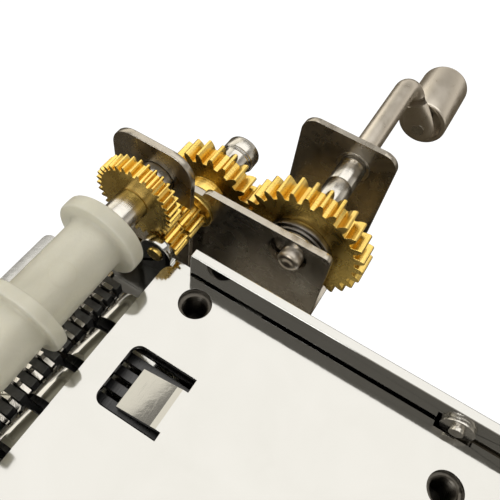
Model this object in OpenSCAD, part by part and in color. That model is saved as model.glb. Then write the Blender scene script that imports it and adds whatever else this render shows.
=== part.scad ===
// Hand-cranked paper-strip musical movement: a roller pulls a punched strip over thirty star wheels,
// and the star wheels pluck a thirty-tooth steel comb under the guide plate.
// X runs along the shafts towards the crank, Y along the paper, Z up.
// The origin is the centre of the four fixing holes, on the underside of the base plate.

/* [Notes] */
// Number of notes, which is the number of star wheels and comb teeth
note_count = 30; // [30:1:30]
// Distance between neighbouring notes
note_pitch = 2; // [1.95:0.01:2.03]
// Notes in one group between two notches of the guide plate
notes_per_group = 3; // [3:1:3]

/* [Base plate] */
// Width of the base plate, across the paper
base_w = 89; // [88.5:0.5:90]
// Length of the base plate, along the paper
base_l = 66; // [65:0.5:76]
// Thickness of the base plate
base_t = 1.2; // [1:0.1:2]
// Radius of the four fixing holes
fixing_hole_r = 1.35; // [1.1:0.05:1.6]
// Distance between the fixing holes across the paper
fixing_w = 78.6; // [77.8:0.1:79.4]
// Distance between the fixing holes along the paper
fixing_l = 62; // [61:0.1:63]

/* [Side rails] */
// Distance between the inner faces of the rails
channel_w = 72; // [71.8:0.1:72.2]
// Thickness of the rail sheet
rail_t = 1.3; // [1:0.1:1.6]
// Height of the rails above the guide plates
rail_rise = 4.4; // [3:0.1:6]
// Length of the rails' upper edge
rail_l = 52; // [48:0.5:60]
// Width of the rails' foot flange
foot_w = 7; // [6:0.1:7.1]

/* [Guide plates] */
// Height of the guide plates' top face above the underside of the base
deck_z = 15.2; // [15:0.1:17]
// Thickness of the guide plates
deck_t = 0.8; // [0.6:0.05:1]
// Where the front guide plate's folded edge lies, measured from the origin
fold_y = 14.5; // [14:0.1:15]
// Length of the front guide plate
deck_l = 52; // [47:0.5:60]
// Width of one notch in the folded edge
notch_w = 1.7; // [1.4:0.1:2]
// Radius of the bend of the folded tabs, at the top face
tab_bend_r = 3.6; // [3.2:0.1:3.8]
// Angle that the tabs are bent through
tab_bend_a = 64; // [50:1:68]
// Radius of the round holes in the guide plates
deck_hole_r = 2.2; // [1.8:0.1:2.4]
// Length of the rear guide plate
rear_deck_l = 6; // [5:0.1:7]

/* [Paper roller] */
// Height of the roller's axis above the guide plates
roller_axis_rise = 6; // [5.95:0.05:6.4]
// Distance of the roller's axis behind the folded edge
roller_axis_back = 6.7; // [6.6:0.05:6.9]
// Radius of the roller's drive ribs
rib_r = 5.75; // [5.4:0.05:5.8]
// Radius of the roller's barrel
barrel_r = 3.8; // [3.4:0.05:4]
// Radius of the roller's middle ribs
middle_rib_r = 5.4; // [5:0.05:5.8]
// Width of an end rib
rib_w = 2; // [1.6:0.1:2.6]
// Distances of the middle ribs from the middle of the roller
middle_rib_x = [-18, -6, 6, 18];
// Distance between the outer faces of the end ribs
roller_l = 64.6; // [63:0.1:65]
// Radius of the roller's shaft
roller_shaft_r = 1.5; // [1.2:0.05:1.7]

/* [Gears] */
// Module of the coarse pair, on the crank and the idler
coarse_m = 0.65; // [0.6:0.01:0.66]
// Teeth of the crank gear
crank_teeth = 28; // [26:1:28]
// Teeth of the idler gear
idler_teeth = 20; // [19:1:21]
// Module of the fine pair, on the idler pinion and the roller
fine_m = 0.35; // [0.33:0.005:0.355]
// Teeth of the roller gear
roller_teeth = 32; // [30:1:32]
// Teeth of the idler pinion
pinion_teeth = 12; // [11:1:12]
// Face width of the crank gear
crank_gear_w = 3.4; // [3:0.1:4]
// Face width of the idler gear
idler_gear_w = 3.4; // [3:0.1:3.8]
// Face width of the roller gear
roller_gear_w = 2.4; // [2:0.1:2.6]
// Direction from the roller's axis to the idler's axis
fine_mesh_a = 235.2; // [234:0.1:237]
// Direction from the idler's axis to the crank's axis
coarse_mesh_a = 180.7; // [180:0.1:182]

/* [Gear bracket] */
// Thickness of the bracket sheet
bracket_t = 1; // [0.8:0.05:1.3]
// Distance of the roller bracket's inner face from the middle of the movement
tab_x = 42.9; // [42.6:0.1:43]
// Distance of the inner wall's inner face from the middle of the movement
wall_x = 45.5; // [45.4:0.1:45.8]
// Distance of the outer wall's inner face from the middle of the movement
outer_wall_x = 66.7; // [64:0.1:72]
// Width of the outer wall
outer_wall_w = 16.2; // [14:0.1:17.5]
// Height of the outer wall above the guide plates
outer_wall_rise = 4.8; // [2.5:0.1:6]
// Height of the roller brackets above the guide plates
tab_rise = 11.6; // [11:0.1:15]
// Width of the roller brackets
tab_l = 12.6; // [12:0.1:14]
// Height of the inner wall above the guide plates
inner_wall_rise = 4.4; // [4:0.1:6]
// Corner radius of the outer wall
wall_corner_r = 2.6; // [1.5:0.1:3]
// Corner radius of the roller brackets
tab_corner_r = 3.4; // [2:0.1:4]

/* [Crank] */
// Radius of the crank rod outside the bracket
rod_r = 1.95; // [1.75:0.05:2.1]
// Distance of the crank arm's middle from the middle of the movement
arm_x = 91.3; // [80:0.1:100]
// Distance between the crank's axis and the grip's axis
crank_throw = 9.4; // [8.6:0.1:9.8]
// Direction of the arm from the crank's axis
arm_a = 239.3; // [0:0.1:360]
// Radius of the grip
grip_r = 4.6; // [4.2:0.05:4.8]
// Length of the grip
grip_l = 13.4; // [12:0.1:22]

/* [Fits] */
// Radial clearance of a shaft that turns in its bearing
run_fit = 0.05; // [0.03:0.01:0.08]
// Radial clearance of a piece that is fixed on its shaft
seat_fit = 0.02; // [0.01:0.01:0.03]
// Gap between pieces that pass beside each other
side_gap = 0.3; // [0.25:0.05:0.35]

/* [Hidden] */

$fn = 48;
over = 1;

// Heights and edges that several pieces share
base_top = base_t;
deck_under = deck_z - deck_t;
rail_in = channel_w / 2;
rail_out = rail_in + rail_t;
deck_w = channel_w - 2 * side_gap;
rail_end_y = fold_y - 3.4;
last_note_x = (note_count - 1) * note_pitch / 2;
group_pitch = notes_per_group * note_pitch;
group_count = note_count / notes_per_group;
tab_w = group_pitch - notch_w;

// Shaft axes, as [y, z]
roller_axis = [fold_y + roller_axis_back, deck_z + roller_axis_rise];
fine_centres = fine_m * (roller_teeth + pinion_teeth) / 2;
coarse_centres = coarse_m * (crank_teeth + idler_teeth) / 2;
idler_axis = roller_axis + fine_centres * [cos(fine_mesh_a), sin(fine_mesh_a)];
crank_axis = idler_axis + coarse_centres * [cos(coarse_mesh_a), sin(coarse_mesh_a)];
grip_axis = crank_axis + crank_throw * [cos(arm_a), sin(arm_a)];

// Places along the shafts
tab_out = tab_x + bracket_t;
wall_out = wall_x + bracket_t;
roller_gear_x = rail_out + 0.35;
pinion_x = rail_out + side_gap;
pinion_end_x = wall_x - 0.9;
coarse_x = wall_out + 2.45;
idler_hub_x = wall_out + 0.6;
cap_x = coarse_x + idler_gear_w;
cap_neck_l = 4.65;
cap_t = 2.4;
cap_end_x = cap_x + cap_neck_l + cap_t;

// Shaft, bore and disc radii
idler_nose_r = 1.1;
idler_shaft_r = 1.5;
idler_hub_r = 3;
idler_neck_r = 2.2;
idler_cap_r = 2.75;
idler_bush_r = 2.6;
idler_flange_r = 3.2;
crank_core_r = 1.7;
crank_hub_r = 5;
crank_washer_r = 4.2;
outer_bush_r = 2.9;
spacer_r = 2.2;
sleeve_r = 2.25;
bush_r = 2.6;
grip_rivet_r = 1.2;
counterbore_r = 3.6;
eye_r = 2.9;
arm_t = 2;
star_axle_r = 0.75;

// Star wheels and comb
star_r = 3;
star_root_r = 2;
star_teeth = 8;
star_t = 0.6;
star_axis = [fold_y + 6.6, deck_z - 3.15];
rack_front = star_axis[0] - 2.7;
rack_back = star_axis[0] + 1.8;
rack_finger_w = note_pitch - star_t - 0.3;
comb_top = deck_z - 2.7;
comb_t = 0.8;
comb_under = comb_top - comb_t;
comb_tip_y = fold_y + 3.2;
comb_root_y = fold_y - 12;
comb_back_y = fold_y - 22;
comb_tooth_w = 1.3;
comb_w = 2 * last_note_x + 3;
comb_screw_y = comb_back_y + 3;
comb_screws_x = [-22, 0, 22];
screw_r = 1;

// Tongues, posts and rivets
window_x = 20;
window_w = 8.5;
window_corner_r = 1.3;
tongue_x = 19.65;
tongue_w = 5.5;
tongue_root_y = fold_y - 12.4;
tongue_tip_y = fold_y - 6;
tongue_drop = 1.5;
window_front_y = fold_y - 3.6;
front_post_x = 32.6;
front_post_y = fold_y - 6.5;
back_post_x = 28.9;
back_post_y = fold_y - 42.8;
rear_post_x = 24;
rear_deck_y = fold_y + 9.9;
rear_deck_w = 60.8;
rear_post_y = rear_deck_y + rear_deck_l / 2;
post_hole_r = 1.8;
deck_post_r = 2.6;
rail_rivet_y = fold_y - 41.3;
rail_rivet_z = deck_z + 1.2;
rail_rivet_r = 2.1;
rail_rivet_t = 0.5;
bracket_front_y = crank_axis[0] - 5.6;
outer_front_y = crank_axis[0] - 6.4;
bracket_step_y = idler_axis[0] - 1.2;
bracket_back_y = idler_axis[0] + 4.1;
bracket_step_z = idler_axis[1] + 3.7;
tab_front_y = fold_y + 1.3;
foot_x = rail_out + 0.8;
foot_back_y = tab_front_y - 0.6;
bracket_rivet_x = (foot_x + tab_out) / 2;
bracket_rivets_y = [bracket_front_y + 3.4, foot_back_y - 3.4];
tab_rivet_y = tab_front_y + tab_l / 2;
foot_rivets = [[bracket_rivet_x, bracket_rivets_y[0]], [bracket_rivet_x, bracket_rivets_y[1]],
    [bracket_rivet_x, tab_rivet_y], [-bracket_rivet_x, tab_rivet_y]];
rivet_r = 0.9;
rivet_head_r = 1.6;
shelf_z = deck_z - 1;
foot_t = 1;
ear_r = 2.5;

// Angle of the involute at radius r on base radius rb
function inv(rb, r) = let (a = acos(min(1, rb / r))) tan(a) * 180 / PI - a;

// Points of one tooth from root to rounded tip, as [radius, half angle]
function flank(m, n, play) =
    let (rp = m * n / 2, rb = rp * cos(20), rr = rp - 1.25 * m, rt = rp + m, rf = rt - 0.25 * m,
         half = 90 / n - play / rp * 90 / PI, low = max(rb, rr + 0.25 * m),
         top = half + inv(rb, rp) - inv(rb, rf))
    concat([[rr, half + inv(rb, rp) + 0.18 * 90 / n]],
        [for (k = [0:3]) let (r = low + (rf - low) * k / 3) [r, half + inv(rb, rp) - inv(rb, r)]],
        [[rt, 0.55 * top]]);

// Outline of a spur gear whose first tooth points along +X of the drawing plane
module gear_outline(m, n, play) {
    f = flank(m, n, play);
    last = len(f) - 1;
    polygon([for (t = [0:n - 1]) each concat(
        [for (p = f) p[0] * [cos(t * 360 / n - p[1]), sin(t * 360 / n - p[1])]],
        [for (k = [last:-1:0]) f[k][0] * [cos(t * 360 / n + f[k][1]), sin(t * 360 / n + f[k][1])]])]);
}

// Puts a shape drawn on the Y-Z plane and grown along Z onto an axis along X
module along_x(axis, x) {
    translate([x, axis[0], axis[1]]) rotate([90, 0, 90]) children();
}

// Plain round bar or disc along X
module bar_x(axis, x0, x1, r) {
    along_x(axis, x0) cylinder(h = x1 - x0, r = r);
}

// Upright sheet with rounded upper corners, given its y range, z range and thickness along X
module wall_sheet(x, t, y0, y1, z0, z1, r) {
    translate([x, y0, z0]) cube([t, y1 - y0, z1 - z0 - r]);
    translate([x, y0 + r, z0]) cube([t, y1 - y0 - 2 * r, z1 - z0]);
    for (y = [y0 + r, y1 - r]) bar_x([y, z1 - r], x, x + t, r);
}

module screw(x, y, z, head_r, head_h, shank_h) {
    translate([x, y, z]) difference() {
        cylinder(h = head_h, r = head_r);
        translate([-head_r, -0.2, head_h - 0.5]) cube([2 * head_r, 0.4, over]);
    }
    translate([x, y, z - shank_h]) cylinder(h = shank_h, r = screw_r);
}

module base_plate() {
    color("silver") difference() {
        translate([-base_w / 2, -base_l / 2, 0]) cube([base_w, base_l, base_t]);
        for (sx = [-1, 1], sy = [-1, 1])
            translate([sx * fixing_w / 2, sy * fixing_l / 2, -over])
                cylinder(h = base_t + 2 * over, r = fixing_hole_r);
        for (p = foot_rivets) translate([p[0], p[1], -over])
            cylinder(h = base_t + 2 * over, r = rivet_r + seat_fit);
    }
}

// Rail whose upper edge ends before the roller, with a low web and a foot along the base plate
module side_rail(foot_back) {
    front_y = rail_end_y - rail_l;
    difference() {
        union() {
            translate([rail_in, front_y, deck_under - 3])
                cube([rail_t, rail_l, rail_rise + deck_t + 3]);
            translate([rail_in, -base_l / 2, base_top]) cube([rail_t, base_l - 2, shelf_z - base_top]);
            translate([rail_in, -base_l / 2, base_top])
                cube([rail_t + foot_w, foot_back + base_l / 2, foot_t]);
        }
        translate([fixing_w / 2, -fixing_l / 2, base_top - over])
            cylinder(h = foot_t + 2 * over, r = fixing_hole_r);
        bar_x([rail_rivet_y, rail_rivet_z], rail_in - over, rail_out + over, rivet_r);
    }
}

// The crank's side has an ear that carries the inner end of the idler
module crank_side_rail() {
    color("gainsboro") difference() {
        union() {
            side_rail(bracket_front_y - side_gap);
            bar_x(idler_axis, rail_in, rail_out, ear_r);
        }
        bar_x(idler_axis, rail_in - over, rail_out + over, idler_nose_r + run_fit);
    }
}

module far_side_rail() {
    color("gainsboro") mirror([1, 0, 0]) side_rail(tab_front_y - side_gap);
}

// One tab of the folded edge, bent down over the star wheels
module fold_tab(x) {
    translate([x - tab_w / 2, fold_y, deck_z - tab_bend_r]) rotate([90, 0, 90])
        linear_extrude(tab_w) intersection() {
            difference() {
                circle(r = tab_bend_r);
                circle(r = tab_bend_r - deck_t);
            }
            polygon([[0, 0], [0, 2 * tab_bend_r],
                2 * tab_bend_r * [sin(tab_bend_a), cos(tab_bend_a)] / cos(tab_bend_a / 2),
                2 * tab_bend_r * [sin(tab_bend_a), cos(tab_bend_a)]]);
        }
}

// Window with rounded front corners around the tongue that steadies the paper
module tongue_window(side) {
    x = side * window_x;
    z = deck_under - over;
    h = deck_t + 2 * over;
    front = window_front_y - window_corner_r;
    translate([x - window_w / 2, tongue_root_y, z]) cube([window_w, front - tongue_root_y, h]);
    translate([x - window_w / 2 + window_corner_r, tongue_root_y, z])
        cube([window_w - 2 * window_corner_r, window_front_y - tongue_root_y, h]);
    for (s = [-1, 1]) translate([x + s * (window_w / 2 - window_corner_r), front, z])
        cylinder(h = h, r = window_corner_r);
}

// Tongue with a flat root, a bend and a sloping leaf
module tongue(side) {
    run = tongue_tip_y - tongue_root_y;
    translate([side * tongue_x - tongue_w / 2, tongue_root_y, deck_z]) rotate([90, 0, 90])
        linear_extrude(tongue_w) polygon([[-0.5, 0], [0.7, 0], [1.5, -0.3], [run, -tongue_drop],
            [run, -tongue_drop - deck_t], [1.4, -0.3 - deck_t], [0.6, -deck_t], [-0.5, -deck_t]]);
}

module front_guide_plate() {
    corner = 1.6;
    color("white") union() {
        difference() {
            union() {
                translate([-deck_w / 2, fold_y - deck_l, deck_under]) cube([deck_w, deck_l - corner, deck_t]);
                translate([corner - deck_w / 2, fold_y - corner - over, deck_under])
                    cube([deck_w - 2 * corner, corner + over, deck_t]);
                for (s = [-1, 1]) translate([s * (deck_w / 2 - corner), fold_y - corner, deck_under])
                    cylinder(h = deck_t, r = corner);
            }
            for (s = [-1, 1]) tongue_window(s);
            for (s = [-1, 1]) {
                translate([s * front_post_x, front_post_y, deck_under - over])
                    cylinder(h = deck_t + 2 * over, r = deck_hole_r);
                translate([s * back_post_x, back_post_y, deck_under - over])
                    cylinder(h = deck_t + 2 * over, r = deck_hole_r);
                translate([s * (rail_in + 0.5) - 1.5, rail_rivet_y - rail_rivet_r - side_gap,
                    deck_under - over]) cube([3, 2 * (rail_rivet_r + side_gap), deck_t + 2 * over]);
            }
        }
        for (s = [-1, 1]) tongue(s);
        for (g = [0:group_count - 1])
            fold_tab(last_note_x - (notes_per_group - 1) * note_pitch / 2 - g * group_pitch);
    }
}

module rear_guide_plate() {
    corner = 1;
    color("white") difference() {
        union() {
            translate([-rear_deck_w / 2, rear_deck_y, deck_under])
                cube([rear_deck_w, rear_deck_l - corner, deck_t]);
            translate([corner - rear_deck_w / 2, rear_deck_y, deck_under])
                cube([rear_deck_w - 2 * corner, rear_deck_l, deck_t]);
            for (s = [-1, 1])
                translate([s * (rear_deck_w / 2 - corner), rear_deck_y + rear_deck_l - corner, deck_under])
                    cylinder(h = deck_t, r = corner);
        }
        for (s = [-1, 1]) translate([s * rear_post_x, rear_post_y, deck_under - over])
            cylinder(h = deck_t + 2 * over, r = screw_r + side_gap);
    }
}

// Folded bracket: inner wall for the idler and the crank, floor, foot and outer wall
module gear_bracket() {
    keyhole = crank_axis + [0.5, 1.7];
    keyhole_r = 3;
    low_top = deck_z + inner_wall_rise;
    color("dimgray") difference() {
        union() {
            wall_sheet(wall_x, bracket_t, bracket_front_y, bracket_step_y, base_top, low_top, 1.2);
            wall_sheet(wall_x, bracket_t, bracket_step_y - 3, bracket_back_y, base_top, bracket_step_z, 2.2);
            translate([foot_x, bracket_front_y, base_top])
                cube([wall_out - foot_x, foot_back_y - bracket_front_y, bracket_t]);
            translate([wall_x, bracket_front_y, base_top])
                cube([outer_wall_x + bracket_t - wall_x, outer_wall_w - 1, bracket_t]);
            wall_sheet(outer_wall_x, bracket_t, outer_front_y, outer_front_y + outer_wall_w,
                base_top, deck_z + outer_wall_rise, wall_corner_r);
        }
        bar_x(idler_axis, wall_x - over, wall_out + over, idler_bush_r + seat_fit);
        bar_x(crank_axis, wall_x - over, wall_out + over, crank_core_r + run_fit);
        bar_x(keyhole, wall_x - over, wall_out + over, keyhole_r);
        bar_x(crank_axis, outer_wall_x - over, outer_wall_x + bracket_t + over, outer_bush_r + seat_fit);
        for (y = bracket_rivets_y) translate([bracket_rivet_x, y, base_top - over])
            cylinder(h = bracket_t + 2 * over, r = rivet_r + seat_fit);
    }
}

module outer_bush() {
    color("silver") difference() {
        bar_x(crank_axis, outer_wall_x, outer_wall_x + bracket_t + 0.6, outer_bush_r);
        bar_x(crank_axis, outer_wall_x - over, outer_wall_x + bracket_t + 2, rod_r + run_fit);
    }
}

module idler_bush() {
    color("darkgoldenrod") difference() {
        union() {
            bar_x(idler_axis, wall_x, wall_out, idler_bush_r);
            bar_x(idler_axis, wall_x - 0.5, wall_x, idler_flange_r);
        }
        bar_x(idler_axis, wall_x - over, wall_out + over, idler_shaft_r + run_fit);
    }
}

// Upright sheet with a foot, drawn for the crank's side
module bearing_sheet() {
    wall_sheet(tab_x, bracket_t, tab_front_y, tab_front_y + tab_l, base_top, deck_z + tab_rise, tab_corner_r);
    translate([foot_x, tab_front_y, base_top]) cube([tab_out - foot_x, tab_l, bracket_t]);
}

module bearing_sheet_holes() {
    bar_x(roller_axis, tab_x - over, tab_out + over, bush_r + seat_fit);
    translate([bracket_rivet_x, tab_front_y + tab_l / 2, base_top - over])
        cylinder(h = bracket_t + 2 * over, r = rivet_r + seat_fit);
}

// The roller bracket has a round opening that the idler's pinion passes through
module roller_bracket() {
    color("dimgray") difference() {
        bearing_sheet();
        bearing_sheet_holes();
        bar_x(idler_axis, tab_x - over, tab_out + over, fine_m * (pinion_teeth / 2 + 1) + 0.6);
    }
}

module end_bracket() {
    color("dimgray") mirror([1, 0, 0]) difference() {
        bearing_sheet();
        bearing_sheet_holes();
    }
}

// Steel comb: the long bass teeth are at the crank's side
module tone_comb() {
    color("dimgray") difference() {
        union() {
            translate([-comb_w / 2, comb_back_y, comb_under]) cube([comb_w, comb_root_y - comb_back_y, comb_t]);
            for (i = [0:note_count - 1]) let (x = last_note_x - i * note_pitch)
                translate([x - comb_tooth_w / 2, comb_root_y - over, comb_under])
                    cube([comb_tooth_w, comb_tip_y - comb_root_y + over, comb_t]);
        }
        for (x = comb_screws_x) translate([x, comb_screw_y, comb_under - over])
            cylinder(h = comb_t + 2 * over, r = screw_r + side_gap);
    }
}

module comb_block() {
    color("darkgray") difference() {
        translate([-comb_w / 2, comb_back_y, base_top])
            cube([comb_w, comb_root_y - comb_back_y - 1, comb_under - base_top]);
        for (x = comb_screws_x) translate([x, comb_screw_y, comb_under - 4])
            cylinder(h = 4 + over, r = screw_r + seat_fit);
    }
}

module comb_screws() {
    color("silver") for (x = comb_screws_x) screw(x, comb_screw_y, comb_top, 2, 1.2, comb_t + 3);
}

// Slotted rack that keeps the star wheels apart and carries their axle
module wheel_rack() {
    spine_top = star_axis[1] - star_r - 0.3;
    finger_top = deck_z - 2.3;
    half = last_note_x + note_pitch + rack_finger_w / 2;
    color("darkslategray") difference() {
        union() {
            translate([-half, rack_front, base_top]) cube([2 * half, rack_back - rack_front, spine_top - base_top]);
            for (i = [0:note_count]) let (x = last_note_x + note_pitch / 2 - i * note_pitch)
                translate([x - rack_finger_w / 2, rack_front, spine_top - 0.1])
                    cube([rack_finger_w, rack_back - rack_front, finger_top - spine_top + 0.1]);
        }
        bar_x(star_axis, -half - over, half + over, star_axle_r + seat_fit);
    }
}

module star_axle() {
    half = last_note_x + note_pitch + 0.5;
    color("silver") bar_x(star_axis, -half, half, star_axle_r);
}

// One star wheel for note i, counted from the crank's side
module star_wheel(i) {
    x = last_note_x - (i - 1) * note_pitch;
    along_x(star_axis, x - star_t / 2) rotate([0, 0, 11 * ceil(i / notes_per_group)]) difference() {
        linear_extrude(star_t) polygon([for (k = [0:2 * star_teeth - 1])
            (k % 2 == 0 ? star_r : star_root_r) * [cos(k * 180 / star_teeth), sin(k * 180 / star_teeth)]]);
        translate([0, 0, -over]) cylinder(h = star_t + 2 * over, r = star_axle_r + run_fit);
    }
}

// The three equal wheels that play one group of notes
module star_wheels(g) {
    color("whitesmoke") for (i = [1:notes_per_group]) star_wheel((g - 1) * notes_per_group + i);
}

module roller_shaft() {
    color("silver") bar_x(roller_axis, -tab_out - 1, tab_out + 1, roller_shaft_r);
}

// Moulded roller: a thin barrel with two end ribs and four narrower middle ribs
module paper_roller() {
    half = roller_l / 2;
    narrow = rib_w * 0.8;
    color("ivory") difference() {
        union() {
            bar_x(roller_axis, -half, half, barrel_r);
            bar_x(roller_axis, -half, rib_w - half, rib_r);
            bar_x(roller_axis, half - rib_w, half, rib_r);
            for (x = middle_rib_x) bar_x(roller_axis, x - narrow / 2, x + narrow / 2, middle_rib_r);
        }
        bar_x(roller_axis, -half - over, half + over, roller_shaft_r + seat_fit);
    }
}

module roller_sleeves() {
    color("silver") for (s = [-1, 1]) {
        x0 = s > 0 ? roller_l / 2 : -tab_x + side_gap;
        x1 = s > 0 ? roller_gear_x : -roller_l / 2;
        difference() {
            bar_x(roller_axis, x0, x1, sleeve_r);
            bar_x(roller_axis, x0 - over, x1 + over, roller_shaft_r + seat_fit);
        }
    }
}

// The tooth of the roller gear that faces the pinion lies on the line of centres
module roller_gear() {
    color("goldenrod") difference() {
        along_x(roller_axis, roller_gear_x) rotate([0, 0, fine_mesh_a])
            linear_extrude(roller_gear_w) gear_outline(fine_m, roller_teeth, 0.04);
        bar_x(roller_axis, roller_gear_x - over, roller_gear_x + roller_gear_w + over,
            roller_shaft_r + seat_fit);
    }
}

module roller_bushes() {
    color("silver") for (s = [-1, 1]) {
        x0 = s > 0 ? roller_gear_x + roller_gear_w + side_gap : -tab_out;
        x1 = s > 0 ? tab_out : -tab_x;
        difference() {
            bar_x(roller_axis, x0, x1, bush_r);
            bar_x(roller_axis, x0 - over, x1 + over, roller_shaft_r + run_fit);
        }
    }
}

// Brass pinion with a turned neck, a journal at its inner end and the gear's shaft at its outer end
module idler_pinion() {
    neck_x = roller_gear_x + roller_gear_w + 0.45;
    color("goldenrod") union() {
        bar_x(idler_axis, rail_in - side_gap, pinion_x, idler_nose_r);
        difference() {
            along_x(idler_axis, pinion_x) rotate([0, 0, fine_mesh_a + 180 + 180 / pinion_teeth])
                linear_extrude(pinion_end_x - pinion_x) gear_outline(fine_m, pinion_teeth, 0.08);
            difference() {
                bar_x(idler_axis, neck_x, neck_x + 0.6, idler_hub_r);
                bar_x(idler_axis, neck_x - over, neck_x + 2, idler_shaft_r);
            }
        }
        bar_x(idler_axis, pinion_end_x - 0.1, cap_end_x, idler_shaft_r);
    }
}

// The tooth of the idler gear that faces the crank gear lies on the line of centres
module idler_gear() {
    color("goldenrod") difference() {
        union() {
            along_x(idler_axis, coarse_x) rotate([0, 0, coarse_mesh_a])
                linear_extrude(idler_gear_w) gear_outline(coarse_m, idler_teeth, 0.06);
            bar_x(idler_axis, idler_hub_x, coarse_x, idler_hub_r);
        }
        bar_x(idler_axis, idler_hub_x - over, cap_x + over, idler_shaft_r + seat_fit);
    }
}

// Spacer collar with a wider head that holds the idler gear on its shaft
module idler_cap() {
    head_x = cap_x + cap_neck_l;
    color("silver") difference() {
        union() {
            bar_x(idler_axis, cap_x, head_x, idler_neck_r);
            bar_x(idler_axis, head_x, cap_end_x, idler_cap_r);
        }
        bar_x(idler_axis, cap_x - over, cap_end_x + over, idler_shaft_r + seat_fit);
    }
}

// The gap of the crank gear that faces the idler lies on the line of centres
module crank_gear() {
    color("goldenrod") difference() {
        along_x(crank_axis, coarse_x) rotate([0, 0, coarse_mesh_a + 180 + 180 / crank_teeth])
            linear_extrude(crank_gear_w) gear_outline(coarse_m, crank_teeth, 0.06);
        bar_x(crank_axis, coarse_x - over, coarse_x + crank_gear_w + over, crank_core_r + seat_fit);
    }
}

module crank_hub() {
    color("saddlebrown") difference() {
        union() {
            bar_x(crank_axis, coarse_x - 1, coarse_x, crank_hub_r);
            bar_x(crank_axis, coarse_x - 1.35, coarse_x - 1, crank_hub_r - 0.6);
        }
        bar_x(crank_axis, coarse_x - 2, coarse_x + over, crank_core_r + seat_fit);
    }
}

module crank_washer() {
    color("silver") difference() {
        bar_x(crank_axis, wall_out + side_gap, coarse_x - 1.4, crank_washer_r);
        bar_x(crank_axis, wall_out, coarse_x, crank_core_r + seat_fit);
    }
}

module crank_spacers() {
    start = coarse_x + crank_gear_w;
    step = (outer_wall_x - side_gap - start) / 3;
    color("silver") for (i = [0:2]) difference() {
        bar_x(crank_axis, start + i * step, start + (i + 1) * step - 0.06, spacer_r);
        bar_x(crank_axis, start + i * step - over, start + (i + 1) * step + over, crank_core_r + seat_fit);
    }
}

// Stepped crank shaft, bent into a short arm with a flattened end for the grip
module crank_rod() {
    bend_r = 2.6;
    arm_w = 2 * eye_r;
    color("lightgray") union() {
        bar_x(crank_axis, wall_x - 0.4, outer_wall_x - side_gap, crank_core_r);
        bar_x(crank_axis, outer_wall_x - side_gap, arm_x - bend_r, rod_r);
        translate([0, crank_axis[0], crank_axis[1]]) rotate([arm_a, 0, 0]) {
            translate([arm_x - bend_r, bend_r, 0]) rotate([0, 0, -90])
                rotate_extrude(angle = 90) translate([bend_r, 0]) circle(r = rod_r - 0.03);
            difference() {
                union() {
                    translate([arm_x - arm_t / 2, bend_r - 0.4, -arm_w / 2])
                        cube([arm_t, crank_throw - bend_r + 0.4, arm_w]);
                    along_x([crank_throw, 0], arm_x - arm_t / 2) cylinder(h = arm_t, r = eye_r);
                }
                along_x([crank_throw, 0], arm_x - arm_t) cylinder(h = 2 * arm_t, r = grip_rivet_r + seat_fit);
            }
        }
    }
}

module grip_sleeve() {
    x0 = arm_x + arm_t / 2 + side_gap;
    x1 = x0 + grip_l;
    color("lightgray") difference() {
        bar_x(grip_axis, x0, x1, grip_r);
        bar_x(grip_axis, x0 - over, x1 + over, grip_rivet_r + run_fit);
        bar_x(grip_axis, x0 - over, x0 + 3, counterbore_r);
        bar_x(grip_axis, x1 - 1.3, x1 + over, counterbore_r);
    }
}

module grip_rivet() {
    x0 = arm_x + arm_t / 2 + side_gap;
    x1 = x0 + grip_l;
    color("silver") union() {
        bar_x(grip_axis, arm_x - arm_t / 2, x1 - 0.9, grip_rivet_r);
        bar_x(grip_axis, x1 - 0.9, x1 - 0.2, counterbore_r - side_gap);
    }
}

module deck_post(x, y) {
    difference() {
        translate([x, y, base_top]) cylinder(h = deck_under - base_top, r = deck_post_r);
        translate([x, y, deck_under - 5]) cylinder(h = 5 + over, r = post_hole_r);
    }
}

module deck_posts() {
    color("gold") for (s = [-1, 1]) {
        deck_post(s * front_post_x, front_post_y);
        deck_post(s * back_post_x, back_post_y);
        deck_post(s * rear_post_x, rear_post_y);
    }
}

module rail_rivets() {
    color("silver") for (s = [0, 1]) mirror([s, 0, 0]) union() {
        bar_x([rail_rivet_y, rail_rivet_z], rail_in - rail_rivet_t, rail_in, rail_rivet_r);
        bar_x([rail_rivet_y, rail_rivet_z], rail_in - 2 * rail_rivet_t, rail_out, rivet_r - seat_fit);
    }
}

module bracket_rivets() {
    color("silver") for (p = foot_rivets) translate([p[0], p[1], 0]) union() {
        cylinder(h = base_top + bracket_t, r = rivet_r);
        translate([0, 0, base_top + bracket_t]) cylinder(h = 0.7, r = rivet_head_r);
    }
}

base_plate();
crank_side_rail();
far_side_rail();
front_guide_plate();
rear_guide_plate();
gear_bracket();
roller_bracket();
end_bracket();
outer_bush();
idler_bush();
tone_comb();
comb_block();
comb_screws();
wheel_rack();
star_axle();
roller_shaft();
paper_roller();
roller_gear();
roller_sleeves();
roller_bushes();
idler_pinion();
idler_gear();
idler_cap();
crank_rod();
crank_gear();
crank_hub();
crank_washer();
crank_spacers();
grip_sleeve();
grip_rivet();
deck_posts();
rail_rivets();
bracket_rivets();
star_wheels(1);  // star_wheels_01
star_wheels(2);  // star_wheels_02
star_wheels(3);  // star_wheels_03
star_wheels(4);  // star_wheels_04
star_wheels(5);  // star_wheels_05
star_wheels(6);  // star_wheels_06
star_wheels(7);  // star_wheels_07
star_wheels(8);  // star_wheels_08
star_wheels(9);  // star_wheels_09
star_wheels(10);  // star_wheels_10
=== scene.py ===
import math

import bmesh
import bpy
from mathutils import Matrix, Vector


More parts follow.
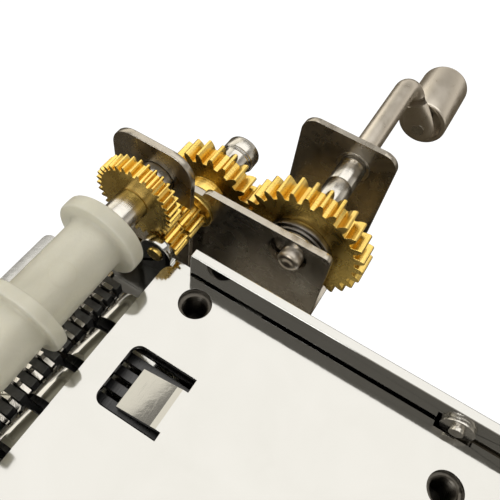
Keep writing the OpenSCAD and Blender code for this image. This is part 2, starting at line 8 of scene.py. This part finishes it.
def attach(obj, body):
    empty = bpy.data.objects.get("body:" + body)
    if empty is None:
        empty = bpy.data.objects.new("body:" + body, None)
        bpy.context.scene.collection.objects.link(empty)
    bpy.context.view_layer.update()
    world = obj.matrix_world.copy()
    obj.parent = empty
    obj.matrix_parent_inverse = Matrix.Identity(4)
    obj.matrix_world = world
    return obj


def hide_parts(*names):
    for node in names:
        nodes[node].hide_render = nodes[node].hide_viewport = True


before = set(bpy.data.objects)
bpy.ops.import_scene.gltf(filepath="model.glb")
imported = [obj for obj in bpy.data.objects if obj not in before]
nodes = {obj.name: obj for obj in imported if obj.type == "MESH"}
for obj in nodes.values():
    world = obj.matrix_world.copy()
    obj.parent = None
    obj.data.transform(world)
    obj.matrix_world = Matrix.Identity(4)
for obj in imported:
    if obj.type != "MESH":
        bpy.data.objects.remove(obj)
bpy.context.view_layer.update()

# ---------------------------------------------------------------- base plate and rails
# The base plate and both side rails are pressed from thin steel and plated to nearly a mirror. The
# rails are riveted to the plate, their sheared edges are slightly rounded, and handling clouds them.
MM = 0.001
NOISE_LOW = 0.3
NOISE_HIGH = 0.7


def assign(node, **values):
    """Sets sockets by name, with _ for a space, and anything else as a setting of the node."""
    for key, value in values.items():
        label = key.replace("_", " ")
        if label in node.inputs:
            node.inputs[label].default_value = value
        else:
            setattr(node, key, value)
    return node


def put(tree, kind, links=(), **values):
    """One node in a tree; links are (socket, source)."""
    node = assign(tree.nodes.new(kind), **values)
    for socket, source in links:
        tree.links.new(source, node.inputs[socket])
    return node


def maths(tree, operation, a, b):
    """The result of a Math node, whose a and b are sockets or plain numbers."""
    node = put(tree, "ShaderNodeMath", operation=operation)
    for socket, value in zip(node.inputs, (a, b)):
        if isinstance(value, (int, float)):
            socket.default_value = value
        else:
            tree.links.new(value, socket)
    return node.outputs[0]


def remap(tree, source, low, high, to_low, to_high):
    node = put(tree, "ShaderNodeMapRange", [("Value", source)],
               From_Min=low, From_Max=high, To_Min=to_low, To_Max=to_high)
    return node.outputs[0]


def group(name, inputs, outputs):
    """A shader node group with its input and output nodes; inputs are (name, kind, value)."""
    tree = bpy.data.node_groups.new(name, "ShaderNodeTree")
    for label, kind, value in inputs:
        socket = tree.interface.new_socket(label, in_out="INPUT", socket_type="NodeSocket" + kind)
        if value is not None:
            socket.default_value = value
    for label in outputs:
        tree.interface.new_socket(label, in_out="OUTPUT", socket_type="NodeSocketFloat")
    return tree, tree.nodes.new("NodeGroupInput"), tree.nodes.new("NodeGroupOutput")


# Handling: soft smears, and short scratches that catch the light.
handling, gin, gout = group("Handling", [("Vector", "Vector", None), ("Smear scale", "Float", 160.0),
                                         ("Scratches", "Float", 0.5)], ["Smear", "Scratch"])
smear = put(handling, "ShaderNodeTexNoise",
            [("Vector", gin.outputs["Vector"]), ("Scale", gin.outputs["Smear scale"])],
            Detail=5.0, Roughness=0.62, Distortion=0.6)
turned = put(handling, "ShaderNodeMapping", [("Vector", gin.outputs["Vector"])],
             Rotation=(0.3, 0.2, 0.75), Scale=(260.0, 5200.0, 900.0))
hair = put(handling, "ShaderNodeTexNoise", [("Vector", turned.outputs[0])], Scale=1.0, Detail=1.0)
line = remap(handling, hair.outputs[0], 0.68, 0.74, 0.0, 1.0)
scratch = maths(handling, "MULTIPLY", line, gin.outputs["Scratches"])
handling.links.new(smear.outputs[0], gout.inputs["Smear"])
handling.links.new(scratch, gout.inputs["Scratch"])


def material(name):
    """A new material with its tree, its Principled shader and its object coordinates."""
    m = bpy.data.materials.new(name)
    m.use_nodes = True
    tree = m.node_tree
    return m, tree, tree.nodes["Principled BSDF"], put(tree, "ShaderNodeTexCoord").outputs["Object"]


def effect(tree, which, vector, **values):
    """A shared node group placed in a material, with its own values."""
    node = put(tree, "ShaderNodeGroup", node_tree=which)
    tree.links.new(vector, node.inputs["Vector"])
    return assign(node, **values)


def between(tree, source, dark, light, low=NOISE_LOW, high=NOISE_HIGH):
    """A colour that goes from dark to light as the source goes from low to high."""
    node = put(tree, "ShaderNodeValToRGB", [("Fac", source)])
    for stop, place, colour in zip(node.color_ramp.elements, (low, high), (dark, light)):
        stop.position = place
        stop.color = (*colour, 1.0)
    return node.outputs["Color"]


def spread(tree, source, low, high):
    """A value that goes from low to high over the middle of a noise."""
    return remap(tree, source, NOISE_LOW, NOISE_HIGH, low, high)


def bump(tree, shader, height, strength, distance):
    node = put(tree, "ShaderNodeBump", [("Height", height)], Strength=strength, Distance=distance)
    tree.links.new(node.outputs["Normal"], shader.inputs["Normal"])


def metal(name, dark, light, smear_scale):
    """A bare metal whose colour follows the smears; its gloss and grain are added by the caller."""
    m, tree, shader, at = material(name)
    marks = effect(tree, handling, at, Smear_scale=smear_scale)
    shader.inputs["Metallic"].default_value = 1.0
    colour = between(tree, marks.outputs["Smear"], dark, light)
    tree.links.new(colour, shader.inputs["Base Color"])
    return m, tree, shader, at, marks


def finish_edges(node, width, angle):
    """Rounds a CAD node's edges by width millimetres where its faces meet at more than angle."""
    weld = node.modifiers.new("Weld", "WELD")
    weld.merge_threshold = 2e-6
    edges = node.modifiers.new("Edges", "BEVEL")
    edges.width = width * MM
    edges.segments = 2
    edges.limit_method = "ANGLE"
    edges.angle_limit = math.radians(angle)
    edges.harden_normals = True
    edges.miter_outer = "MITER_ARC"


def dress(names, m, width, angle=32.0):
    """Gives CAD nodes that keep their shape a material and rounded edges."""
    for name in names:
        mesh = nodes[name].data
        mesh.materials.clear()
        mesh.materials.append(m)
        finish_edges(nodes[name], width, angle)


plating, t, shader, at, marks = metal("BrightPlating", (0.45, 0.447, 0.428), (0.47, 0.467, 0.45), 110.0)
assign(marks, Scratches=0.05)
gloss = spread(t, marks.outputs["Smear"], 0.05, 0.12)
t.links.new(maths(t, "ADD", gloss, marks.outputs["Scratch"]), shader.inputs["Roughness"])
bump(t, shader, marks.outputs["Smear"], 0.06, 0.0002)
dress(["base_plate", "crank_side_rail", "far_side_rail"], plating, 0.14)

# ---------------------------------------------------------------- brackets and comb block
# The gear bracket and the two roller brackets are folded from duller sheet, with the grain of the
# rolling mill along them. The comb's block is cut from the same stock.
grain, gin, gout = group("SheetGrain", [("Vector", "Vector", None), ("Stretch", "Vector", (1.0, 0.04, 1.0)),
                                        ("Scale", "Float", 9000.0)], ["Height"])
drawn = put(grain, "ShaderNodeVectorMath",
            [(0, gin.outputs["Vector"]), (1, gin.outputs["Stretch"])], operation="MULTIPLY")
fine = put(grain, "ShaderNodeTexNoise", [("Vector", drawn.outputs[0]), ("Scale", gin.outputs["Scale"])],
           Detail=4.0, Roughness=0.6)
grain.links.new(fine.outputs[0], gout.inputs["Height"])

sheet, t, shader, at, marks = metal("BrushedSheet", (0.30, 0.27, 0.225), (0.42, 0.39, 0.34), 220.0)
lines = effect(t, grain, at, Stretch=(1.0, 0.03, 1.0), Scale=7000.0)
t.links.new(spread(t, marks.outputs["Smear"], 0.2, 0.34), shader.inputs["Roughness"])
bump(t, shader, lines.outputs["Height"], 0.35, 0.00002)
dress(["gear_bracket", "roller_bracket", "end_bracket", "comb_block"], sheet, 0.16)

# ---------------------------------------------------------------- comb
# One piece of hardened spring steel with thirty teeth, ground across. Its near-black colour is painted
# shade: the polished teeth mirror the dark underside of the plate above them. Three screws hold it on its
# block, with the tips of its teeth under the star wheels.
# Nearly black base colour: painted shade standing in for the dark underside that the teeth mirror.
comb_steel_painted_shade, t, shader, at, marks = metal("SpringSteel", (0.035, 0.035, 0.036), (0.075, 0.075, 0.075), 90.0)
lines = effect(t, grain, at, Stretch=(0.05, 1.0, 1.0), Scale=5200.0)
t.links.new(spread(t, lines.outputs["Height"], 0.22, 0.42), shader.inputs["Roughness"])
bump(t, shader, lines.outputs["Height"], 0.4, 0.00002)
dress(["tone_comb"], comb_steel_painted_shade, 0.06)

# ---------------------------------------------------------------- star wheels and rack
# Thirty stamped wheels turn on one bright axle, kept apart by the fingers of a grey cast rack.
# Turned steel has fine rings round its own axis, which is given as (y, z) in millimetres.
STAR = (21.1, 12.05)

turning, gin, gout = group("TurnedRings", [("Vector", "Vector", None), ("Axis Y", "Float", 0.0),
                                           ("Axis Z", "Float", 0.0), ("Rings per mm", "Float", 6.0)],
                           ["Height"])
place = put(turning, "ShaderNodeSeparateXYZ", [(0, gin.outputs["Vector"])])
off_y = maths(turning, "SUBTRACT", place.outputs["Y"], gin.outputs["Axis Y"])
off_z = maths(turning, "SUBTRACT", place.outputs["Z"], gin.outputs["Axis Z"])
off = put(turning, "ShaderNodeCombineXYZ", [("X", off_y), ("Y", off_z)])
radius = put(turning, "ShaderNodeVectorMath", [(0, off.outputs[0])], operation="LENGTH")
travel = maths(turning, "ADD", radius.outputs["Value"], place.outputs["X"])
feed = maths(turning, "MULTIPLY", travel, maths(turning, "MULTIPLY", gin.outputs["Rings per mm"], 1 / MM))
marks = put(turning, "ShaderNodeTexNoise", [], noise_dimensions="1D", Scale=1.0, Detail=3.0)
turning.links.new(feed, marks.inputs["W"])
turning.links.new(marks.outputs[0], gout.inputs["Height"])


def turned_metal(name, axis, dark, light, rough, rings_per_mm=6.0, depth=0.5):
    """A metal turned on a lathe round an axis."""
    m, tree, shader, at, marks = metal(name, dark, light, 300.0)
    cut = effect(tree, turning, at, Axis_Y=axis[0] * MM, Axis_Z=axis[1] * MM, Rings_per_mm=rings_per_mm)
    tree.links.new(spread(tree, marks.outputs["Smear"], *rough), shader.inputs["Roughness"])
    bump(tree, shader, cut.outputs["Height"], depth, 0.00003)
    return m


def turned_steel(name, axis):
    return turned_metal("TurnedSteel" + name, axis, (0.44, 0.42, 0.38), (0.60, 0.58, 0.54), (0.14, 0.26))


def turned_brass(name, axis):
    return turned_metal("Brass" + name, axis, (0.66, 0.45, 0.10), (0.82, 0.60, 0.19), (0.2, 0.34), 5.0)


cast, t, shader, at, marks = metal("CastRack", (0.07, 0.07, 0.068), (0.13, 0.13, 0.125), 900.0)
shader.inputs["Metallic"].default_value = 0.7
t.links.new(spread(t, marks.outputs["Smear"], 0.4, 0.55), shader.inputs["Roughness"])
bump(t, shader, marks.outputs["Smear"], 0.3, 0.00005)
dress(["wheel_rack"], cast, 0.08)

star_steel = turned_steel("Star", STAR)
dress(["star_axle"] + ["star_wheels_%02d" % k for k in range(1, 11)], star_steel, 0.05)

# ---------------------------------------------------------------- tapped posts
# Six blackened posts carry the guide plates. Each is bored and tapped from the top, with one winding
# groove for its thread, and a node tree stands a copy at each of the six points.
BASE_TOP = 1.2
PLATE_UNDER = 14.4
POST_R = 2.6
POST_CHAMFER = 0.1
THREAD_DEPTH = 5.0
THREAD_PITCH = 0.5
THREAD_R = 1.55
THREAD_CUT = 0.25
RINGS_PER_TURN = 5
MOUTH_R = 1.85
TIP_R = 0.02
POST_PLACES = ((32.6, 8.0), (28.9, -28.3), (24.0, 27.4))
AROUND = 48


def circle(z, radii):
    """A level ring of points, one for each radius."""
    turns = [math.tau * i / len(radii) for i in range(len(radii))]
    return [(r * math.cos(a), r * math.sin(a), z) for r, a in zip(radii, turns)]


def thread_r(z, share):
    """Radius of the tapped hole at a height, a share of a turn round it."""
    return THREAD_R + 2 * THREAD_CUT * abs((z / THREAD_PITCH - share) % 1.0 - 0.5)


def skin(name, rings, m, sharp=35.0):
    """Rings of points, in millimetres, joined into one closed skin with capped ends."""
    bm = bmesh.new()
    rows = [[bm.verts.new(Vector(point) * MM) for point in ring] for ring in rings]
    for low, high in zip(rows, rows[1:]):
        count = len(low)
        for i in range(count):
            j = (i + 1) % count
            bm.faces.new((low[i], low[j], high[j], high[i]))
    bm.faces.new(rows[0])
    bm.faces.new(rows[-1])
    bmesh.ops.remove_doubles(bm, verts=bm.verts, dist=1e-7)
    bmesh.ops.recalc_face_normals(bm, faces=bm.faces)
    for edge in bm.edges:
        edge.smooth = len(edge.link_faces) < 2 or edge.calc_face_angle() < math.radians(sharp)
    for face in bm.faces:
        face.smooth = True
    mesh = bpy.data.meshes.new(name)
    bm.to_mesh(mesh)
    bm.free()
    mesh.materials.append(m)
    piece = bpy.data.objects.new(name, mesh)
    bpy.context.collection.objects.link(piece)
    return piece


def stand_at_points():
    """A node tree that stands a piece at each point, each turned by a quarter more than the last."""
    tree = bpy.data.node_groups.new("StandAtPoints", "GeometryNodeTree")
    for label, kind in (("Points", "Geometry"), ("Piece", "Object"), ("Quarter turns", "Float"),
                        ("Material", "Material")):
        tree.interface.new_socket(label, in_out="INPUT", socket_type="NodeSocket" + kind)
    tree.interface.new_socket("Copies", in_out="OUTPUT", socket_type="NodeSocketGeometry")
    asked = tree.nodes.new("NodeGroupInput")
    given = tree.nodes.new("NodeGroupOutput")
    source = put(tree, "GeometryNodeObjectInfo", [("Object", asked.outputs["Piece"])])
    index = put(tree, "GeometryNodeInputIndex")
    quarters = maths(tree, "MULTIPLY", index.outputs[0], asked.outputs["Quarter turns"])
    spin = put(tree, "ShaderNodeCombineXYZ", [("Z", maths(tree, "MULTIPLY", quarters, math.pi / 2))])
    copies = put(tree, "GeometryNodeInstanceOnPoints",
                 [("Points", asked.outputs["Points"]), ("Instance", source.outputs["Geometry"]),
                  ("Rotation", spin.outputs[0])])
    real = put(tree, "GeometryNodeRealizeInstances", [(0, copies.outputs[0])])
    dressed = put(tree, "GeometryNodeSetMaterial",
                  [("Geometry", real.outputs[0]), ("Material", asked.outputs["Material"])])
    tree.links.new(dressed.outputs[0], given.inputs["Copies"])
    return tree


oiled, t, shader, at, marks = metal("OiledSteel", (0.03, 0.028, 0.024), (0.11, 0.1, 0.085), 500.0)
t.links.new(spread(t, marks.outputs["Smear"], 0.25, 0.45), shader.inputs["Roughness"])
bump(t, shader, marks.outputs["Smear"], 0.2, 0.00004)

bottom = PLATE_UNDER - THREAD_DEPTH
rings = [circle(bottom, [TIP_R] * AROUND), circle(bottom, [THREAD_R + 0.2] * AROUND)]
for k in range(round(THREAD_DEPTH / THREAD_PITCH * RINGS_PER_TURN)):
    z = bottom + k * THREAD_PITCH / RINGS_PER_TURN
    rings.append(circle(z, [thread_r(z, i / AROUND) for i in range(AROUND)]))
top = PLATE_UNDER - 0.02
outside = ((top, MOUTH_R), (top, POST_R - POST_CHAMFER), (top - POST_CHAMFER, POST_R), (BASE_TOP, POST_R),
           (BASE_TOP, TIP_R))
for z, r in outside:
    rings.append(circle(z, [r] * AROUND))
post = skin("TappedPost", rings, oiled, 50.0)

mesh = bpy.data.meshes.new("PostPoints")
mesh.from_pydata([(side * x * MM, y * MM, 0.0) for side in (1, -1) for x, y in POST_PLACES], [], [])
points = bpy.data.objects.new("PostPoints", mesh)
bpy.context.collection.objects.link(points)
stand = points.modifiers.new("Stand", "NODES")
stand.node_group = stand_at_points()
wanted = {"Piece": post, "Quarter turns": 1.0, "Material": oiled}
for item in stand.node_group.interface.items_tree:
    if item.in_out == "INPUT" and item.name in wanted:
        stand[item.identifier] = wanted[item.name]
bpy.context.view_layer.update()
evaluated = points.evaluated_get(bpy.context.evaluated_depsgraph_get())
posts = bpy.data.objects.new("TappedPosts", bpy.data.meshes.new_from_object(evaluated))
bpy.context.collection.objects.link(posts)
bpy.data.objects.remove(points)
bpy.data.objects.remove(post)
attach(posts, "frame")
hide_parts("deck_posts")

# ---------------------------------------------------------------- guide plates
# Two plates of the same bright sheet lie on the posts and the rails. The front one's folded tabs and
# sloping tongues lead the paper strip to the roller.
dress(["front_guide_plate", "rear_guide_plate"], plating, 0.14)


# ---------------------------------------------------------------- paper roller
# One moulding of natural, cloudy plastic on a bright shaft: two end ribs, four narrower ones with
# small fillets, and the round mark of an ejector pin. Its brass gear sits between it and its bush.
def arc(cx, cr, r, start, end, steps):
    """Points of an arc in a profile, from start to end degrees."""
    angles = [math.radians(start + (end - start) * k / steps) for k in range(steps + 1)]
    return [(cx + r * math.cos(a), cr + r * math.sin(a)) for a in angles]


def lathe(name, profile, axis, m, count):
    """A profile of (x, radius) turned round an axis along X."""
    y, z = axis
    turns = [math.tau * i / count for i in range(count)]
    rings = [[(x, y + r * math.cos(a), z + r * math.sin(a)) for a in turns] for x, r in profile]
    return skin(name, rings, m)


ROLLER = (21.2, 21.2)
BARREL_R = 3.8
FILLET = 0.5
HALF_LENGTH = 32.3
SHAFT_BORE_R = 1.52
END_RIB_W = 2.0
END_RIB_R = 5.75
MIDDLE_RIB_W = 1.6
MIDDLE_RIB_R = 5.4
MIDDLE_RIBS_X = (-18, -6, 6, 18)
RIM = 0.3
CROWN = 0.03
PIN_X = 23.2
PIN_R = 1.6
PIN_SIDE = (0.906, 0.423)

milky, t, shader, at = material("MilkyPlastic")
cloud = effect(t, handling, at, Smear_scale=120.0)
pores = put(t, "ShaderNodeTexNoise", [("Vector", at)], Scale=2600.0, Detail=3.0)
colour = between(t, cloud.outputs["Smear"], (0.66, 0.645, 0.525), (0.78, 0.765, 0.665), 0.25)
t.links.new(colour, shader.inputs["Base Color"])
t.links.new(spread(t, cloud.outputs["Smear"], 0.3, 0.46), shader.inputs["Roughness"])
assign(shader, Subsurface_Weight=0.55, Subsurface_Radius=(1.0, 0.95, 0.85), Subsurface_Scale=0.0022,
       Transmission_Weight=0.42, IOR=1.46)
place = put(t, "ShaderNodeSeparateXYZ", [(0, at)])
level = put(t, "ShaderNodeCombineXYZ", [("Y", place.outputs["Y"]), ("Z", place.outputs["Z"])])
beside = put(t, "ShaderNodeVectorMath", [(0, level.outputs[0])], operation="DOT_PRODUCT")
beside.inputs[1].default_value = (0.0, *PIN_SIDE)
pin_at = (PIN_SIDE[0] * ROLLER[0] + PIN_SIDE[1] * ROLLER[1]) * MM
off_x = maths(t, "SUBTRACT", place.outputs["X"], PIN_X * MM)
off_side = maths(t, "SUBTRACT", beside.outputs["Value"], pin_at)
from_pin = put(t, "ShaderNodeCombineXYZ", [("X", off_x), ("Y", off_side)])
away = put(t, "ShaderNodeVectorMath", [(0, from_pin.outputs[0])], operation="LENGTH")
pin_mark = remap(t, away.outputs["Value"], (PIN_R - 0.15) * MM, PIN_R * MM, 1.0, 0.0)
bump(t, shader, maths(t, "ADD", pin_mark, pores.outputs[0]), 0.4, 0.0001)

ribs = [(x - MIDDLE_RIB_W / 2, MIDDLE_RIB_W, MIDDLE_RIB_R) for x in MIDDLE_RIBS_X]
ribs.insert(0, (-HALF_LENGTH, END_RIB_W, END_RIB_R))
ribs.append((HALF_LENGTH - END_RIB_W, END_RIB_W, END_RIB_R))
profile = [(-HALF_LENGTH, SHAFT_BORE_R)]
for left, width, r in ribs:
    right = left + width
    if left > -HALF_LENGTH:
        profile += arc(left - FILLET, BARREL_R + FILLET, FILLET, 270, 360, 4)
    profile += arc(left + RIM, r - RIM - CROWN, RIM, 180, 90, 4)
    profile += [((left + right) / 2, r)]
    profile += arc(right - RIM, r - RIM - CROWN, RIM, 90, 0, 4)
    if right < HALF_LENGTH:
        profile += arc(right + FILLET, BARREL_R + FILLET, FILLET, 180, 270, 4)
profile += [(HALF_LENGTH, SHAFT_BORE_R)]
roller = lathe("RollerMoulding", profile, ROLLER, milky, 128)
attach(roller, "roller")
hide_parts("paper_roller")

dress(["roller_shaft", "roller_sleeves", "roller_bushes"], turned_steel("Roller", ROLLER), 0.12)
dress(["roller_gear"], turned_brass("Roller", ROLLER), 0.07, 24.0)

# ---------------------------------------------------------------- idler
# A brass pinion and gear are fast on one arbor, which turns in the ear of the rail and in a brass
# bush. A stepped steel collar closes its outer end.
IDLER = (16.8055, 14.8772)
dress(["idler_pinion", "idler_gear", "idler_bush"], turned_brass("Idler", IDLER), 0.07, 24.0)
dress(["idler_cap"], turned_steel("Idler", IDLER), 0.3)

# ---------------------------------------------------------------- crank
# A brass gear, a dark hub and bright washers on the thin inner end of one bent rod. The rod is satin
# nickel, thick outside the bracket, with a flattened eye for the grip.
CRANK = (1.2067, 14.6866)
ARM_ANGLE = math.radians(239.3)
NOSE_X = 45.1
CORE_R = 1.7
ROD_R = 1.95
SHOULDER_X = 66.4
ARM_X = 91.3
BEND_R = 2.8
BEND_STEPS = 12

dress(["crank_gear"], turned_brass("Crank", CRANK), 0.08, 24.0)
dark_steel = turned_metal("OxidisedSteel", CRANK, (0.10, 0.09, 0.08), (0.22, 0.205, 0.185), (0.26, 0.4), 4.0)
dress(["crank_hub"], dark_steel, 0.08)
crank_steel = turned_steel("Crank", CRANK)
dress(["crank_washer", "crank_spacers", "outer_bush"], crank_steel, 0.12)

nickel = turned_metal("SatinNickel", CRANK, (0.60, 0.55, 0.475), (0.68, 0.63, 0.56), (0.26, 0.36), 3.0, 0.1)
start = Vector((0.0, *CRANK))
side = Vector((0.0, math.cos(ARM_ANGLE), math.sin(ARM_ANGLE)))
across = Vector((0.0, -math.sin(ARM_ANGLE), math.cos(ARM_ANGLE)))
along = Vector((1.0, 0.0, 0.0))


def oval(centre, u, v, a, b):
    """A ring of points round centre, a along u and b along v."""
    turns = [math.tau * i / AROUND for i in range(AROUND)]
    return [tuple(centre + u * (a * math.cos(turn)) + v * (b * math.sin(turn))) for turn in turns]


rings = []
nose = ((NOSE_X + 0.15, 0.01), (NOSE_X + 0.15, 0.45), (NOSE_X + 0.02, 0.62), (NOSE_X, 1.3),
        (NOSE_X + 0.35, CORE_R))
shoulder = ((SHOULDER_X - 0.02, CORE_R), (SHOULDER_X, ROD_R - 0.02), (70.0, ROD_R), (78.0, ROD_R),
            (ARM_X - BEND_R, ROD_R))
for x, r in nose + shoulder:
    rings.append(oval(start + along * x, side, across, r, r))
for k in range(1, BEND_STEPS + 1):
    share = k / BEND_STEPS
    turn = share * math.pi / 2
    centre = start + along * (ARM_X - BEND_R * (1 - math.sin(turn)))
    centre += side * (BEND_R * (1 - math.cos(turn)))
    inwards = side * math.cos(turn) - along * math.sin(turn)
    rings.append(oval(centre, inwards, across, ROD_R - 0.4 * share, ROD_R + 0.15 * share))
# The arm, as (distance from the shaft, half width, half thickness), flattened and rounded at the eye.
arm = ((4.2, 2.3, 1.4), (5.6, 2.6, 1.2), (7.2, 2.82, 1.06), (8.6, 2.9, 1.0), (9.9, 2.84, 1.0),
       (10.9, 2.45, 0.98), (11.6, 1.85, 0.94), (12.0, 1.2, 0.85), (12.2, 0.6, 0.6), (12.28, 0.1, 0.2))
for reach, half_width, half_thickness in arm:
    rings.append(oval(start + along * ARM_X + side * reach, along, across, half_thickness, half_width))
rod = skin("CrankRod", rings, nickel, 50.0)
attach(rod, "crank")
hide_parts("crank_rod")

# ---------------------------------------------------------------- grip
# A satin sleeve that turns on a riveted pin. Its far rim is well rounded, and both ends are
# counterbored so that the eye and the rivet's head lie inside.
GRIP = (-3.5924, 6.6040)
GRIP_NEAR_X = 92.6
GRIP_FAR_X = 106.0
GRIP_R = 4.6
PIN_BORE_R = 1.26
COUNTERBORE_R = 3.6
EYE_SINK = 3.0
RIVET_SINK = 1.3
LIP_R = 0.35
FAR_RIM_R = 1.1
near = GRIP_NEAR_X
far = GRIP_FAR_X
profile = [(near + EYE_SINK, PIN_BORE_R), (near + EYE_SINK, COUNTERBORE_R - 0.02)]
profile += [(near + 0.15, COUNTERBORE_R), (near + 0.02, COUNTERBORE_R + 0.15)]
profile += arc(near + LIP_R, GRIP_R - LIP_R - 0.03, LIP_R, 180, 90, 4)
profile += [((near + far) / 2, GRIP_R + 0.01)]
profile += arc(far - FAR_RIM_R, GRIP_R - FAR_RIM_R, FAR_RIM_R, 88, 8, 6)
profile += [(far, COUNTERBORE_R), (far - RIVET_SINK, COUNTERBORE_R - 0.02), (far - RIVET_SINK, PIN_BORE_R)]
grip = lathe("GripSleeve", profile, GRIP, nickel, 96)
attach(grip, "grip")
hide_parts("grip_sleeve")
dress(["grip_rivet"], turned_steel("Grip", GRIP), 0.1)

# ---------------------------------------------------------------- screws and rivets
# Bright turned screws hold the comb on its block, and short rivets join the rails and the brackets
# to the base plate. They are turned from the same bar as the crank's washer and spacers.
dress(["comb_screws", "rail_rivets", "bracket_rivets"], crank_steel, 0.12)


# ---------------------------------------------------------------- floor and surroundings
# A plain floor and room that are white to the camera. To every other ray the floor is a dark warm brown,
# painted shade that bright metal mirrors, and the room is dim and warm, lightest at the horizon.
def white_to_camera(tree, otherwise, light, output):
    """Shows the camera a plain white light, and every other ray the shader otherwise."""
    ray = put(tree, "ShaderNodeLightPath")
    pick = put(tree, "ShaderNodeMixShader", [(0, ray.outputs["Is Camera Ray"]), (1, otherwise), (2, light)])
    tree.links.new(pick.outputs[0], tree.nodes[output].inputs["Surface"])


bpy.ops.mesh.primitive_plane_add(size=6.0, location=(0, 0, -0.0003))
floor = bpy.context.object
floor.name = "Floor"
floor_painted_shade, t, shader, at = material("StagePaper")
mottle = put(t, "ShaderNodeTexNoise", [("Vector", at)], Scale=30.0, Detail=2.0)
# Dark brown seen only in reflections and bounce light: painted shade for the metal to mirror.
colour = between(t, mottle.outputs[0], (0.075, 0.06, 0.038), (0.085, 0.07, 0.045))
t.links.new(colour, shader.inputs["Base Color"])
shader.inputs["Roughness"].default_value = 0.9
glow = put(t, "ShaderNodeEmission", Strength=1.1)
white_to_camera(t, shader.outputs[0], glow.outputs[0], "Material Output")
floor.data.materials.append(floor_painted_shade)

world = bpy.data.worlds.new("Studio")
world.use_nodes = True
bpy.context.scene.world = world
t = world.node_tree
room = t.nodes["Background"]
room.inputs["Color"].default_value = (1.0, 0.94, 0.84, 1.0)
height = put(t, "ShaderNodeSeparateXYZ", [(0, put(t, "ShaderNodeTexCoord").outputs["Generated"])])
t.links.new(remap(t, height.outputs["Z"], 0.12, 0.6, 0.95, 0.34), room.inputs["Strength"])
white_to_camera(t, room.outputs[0], put(t, "ShaderNodeBackground", Strength=1.25).outputs[0], "World Output")


# ---------------------------------------------------------------- lights
# The wide softbox overhead is what the guide plates mirror. A low lamp lights the roller from the
# far side, and a long warm one behind lights the folded tabs.
def soft_light(name, place, target, size, power, colour):
    lamp = bpy.data.lights.new(name, "AREA")
    lamp.shape = "RECTANGLE"
    lamp.size, lamp.size_y = size
    lamp.energy = power
    lamp.color = colour
    holder = bpy.data.objects.new(name, lamp)
    bpy.context.collection.objects.link(holder)
    holder.location = place
    holder.rotation_euler = (Vector(target) - Vector(place)).to_track_quat("-Z", "Y").to_euler()


soft_light("Softbox", (0.18, -0.035, 0.4), (0.18, -0.035, 0.0), (0.48, 0.59), 1.4, (1.0, 0.985, 0.955))
soft_light("Side", (-0.5, 0.12, 0.2), (0.0, 0.01, 0.02), (0.3, 0.3), 1.6, (1.0, 1.0, 1.0))
soft_light("Back", (0.2, 0.5, 0.3), (0.02, 0.01, 0.015), (0.8, 0.42), 1.2, (1.0, 0.95, 0.82))

# ---------------------------------------------------------------- camera
# Close above the guide plate, looking down along the gears towards the crank and its grip. The lens
# is shifted a little sideways.
lens = bpy.data.cameras.new("Camera")
lens.lens = 41.48
lens.sensor_width = 36.0
lens.shift_x = 0.0056
lens.clip_start = 0.002
lens.clip_end = 20.0
camera = bpy.data.objects.new("Camera", lens)
bpy.context.collection.objects.link(camera)
forward = Vector((0.5116, 0.2086, -0.8335)).normalized()
right = Vector((0.5149, -0.8510, 0.1031)).normalized()
facing = Matrix((right, right.cross(forward), -forward)).transposed().to_4x4()
camera.matrix_world = Matrix.Translation((0.002891, -0.009839, 0.081423)) @ facing
bpy.context.scene.camera = camera
bpy.context.scene.view_settings.view_transform = "Standard"
